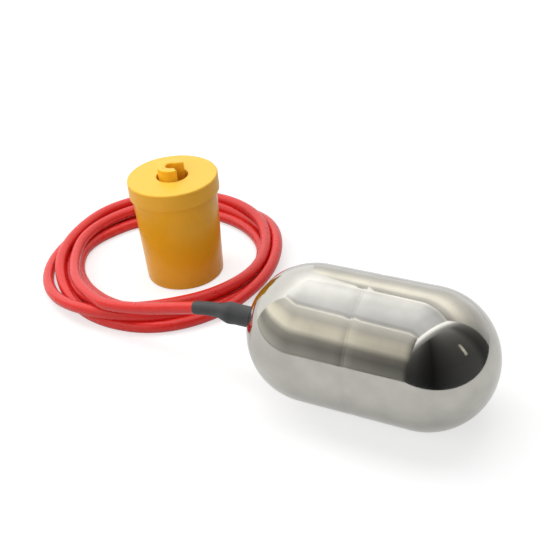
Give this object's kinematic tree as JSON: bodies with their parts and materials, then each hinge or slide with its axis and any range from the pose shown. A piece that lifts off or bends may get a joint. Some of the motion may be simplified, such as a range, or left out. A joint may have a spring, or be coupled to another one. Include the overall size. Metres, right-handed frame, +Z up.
{
  "type": "float level switch",
  "caption": "Cylindrical steel float with domed ends and a tilt switch inside, on a coiled red cable, with a yellow counterweight that slides on the cable.",
  "frame": {"origin": "middle of the base of the float and counterweight together, on the surface they lie on", "axes": "+X along the float's axis from the cable's end to the closed end, +Z up"},
  "size_m": [0.3342, 0.1999, 0.0777],
  "materials": {
    "mirror_steel": "mirror polished stainless steel",
    "weld_steel": "ground weld",
    "turned_steel": "turned",
    "bearing_steel": "ground and polished",
    "cast_ballast": "as cast",
    "lid_yellow": "satin moulded",
    "cup_yellow": "satin moulded",
    "clamp_yellow": "satin moulded",
    "cable_red": "soft satin silicone",
    "sleeve_black": "shrunk, slightly glossy",
    "bush_rubber": "matt",
    "case_grey": "moulded",
    "chassis_white": "moulded",
    "switch_black": "moulded",
    "plunger_red": "moulded",
    "terminal_brass": "plated",
    "spring_bronze": "rolled",
    "resin_amber": "cast",
    "core_brown_skin": "smooth",
    "core_blue_skin": "smooth",
    "core_black_skin": "smooth",
    "ferrule_tin": "tinned"
  },
  "bodies": {
    "root": {"rear_shell": "mirror_steel", "front_shell": "mirror_steel", "weld_seam": "weld_steel", "cable_nipple": "turned_steel", "nipple_weld": "weld_steel", "seal_bush": "bush_rubber", "cable_crimp": "turned_steel", "lock_nut": "turned_steel", "inner_case": "case_grey", "inner_cap": "case_grey", "cap_seal_ring": "bush_rubber", "switch_chassis": "chassis_white", "rocker_pin": "turned_steel", "microswitch_base": "switch_black", "microswitch_cover": "switch_black", "nc_terminal": "terminal_brass", "no_terminal": "terminal_brass", "common_terminal": "terminal_brass", "microswitch_screws": "turned_steel", "weight_shell": "cup_yellow", "weight_lid": "lid_yellow", "weight_ballast": "cast_ballast", "cable_clamp_ring": "clamp_yellow", "cable_coil": "cable_red", "cable_tail": "cable_red", "cable_entry": "cable_red", "cable_lead": "cable_red", "heat_shrink_sleeve": "sleeve_black", "core_blue": "core_blue_skin", "core_black": "core_black_skin", "core_brown": "core_brown_skin", "potting": "resin_amber", "tail_core_blue": "core_blue_skin", "tail_core_black": "core_black_skin", "tail_core_brown": "core_brown_skin", "ferrule_blue": "ferrule_tin", "ferrule_black": "ferrule_tin", "ferrule_brown": "ferrule_tin"},
    "rocker": {"rocker": "chassis_white"},
    "ball": {"steel_ball": "bearing_steel"},
    "plunger": {"plunger": "plunger_red"},
    "blade": {"moving_blade": "spring_bronze"}
  },
  "joints": [
    {"name": "rocker_tilt", "type": "hinge", "parent": "root", "child": "rocker", "pos_m": [0.0532, -0.0357, 0.036], "axis": [0, 1, 0], "range_deg": [0, 8]},
    {"name": "ball_roll", "type": "slide", "parent": "rocker", "child": "ball", "axis": [0.9976, 0, 0.0698], "range_m": [0, 0.02594]},
    {"name": "plunger_press", "type": "slide", "parent": "root", "child": "plunger", "axis": [0, 0, -1], "range_m": [0, 0.00196], "stiffness_N_per_m": 40},
    {"name": "blade_swing", "type": "hinge", "parent": "root", "child": "blade", "pos_m": [0.0833, -0.0357, 0.02897], "axis": [0, -1, 0], "range_deg": [0, 7]}
  ],
  "couplings": [
    {"joint": "plunger_press", "follows": "rocker_tilt", "m_per_rad": 0.013989},
    {"joint": "blade_swing", "follows": "rocker_tilt", "ratio": 0.87101}
  ]
}
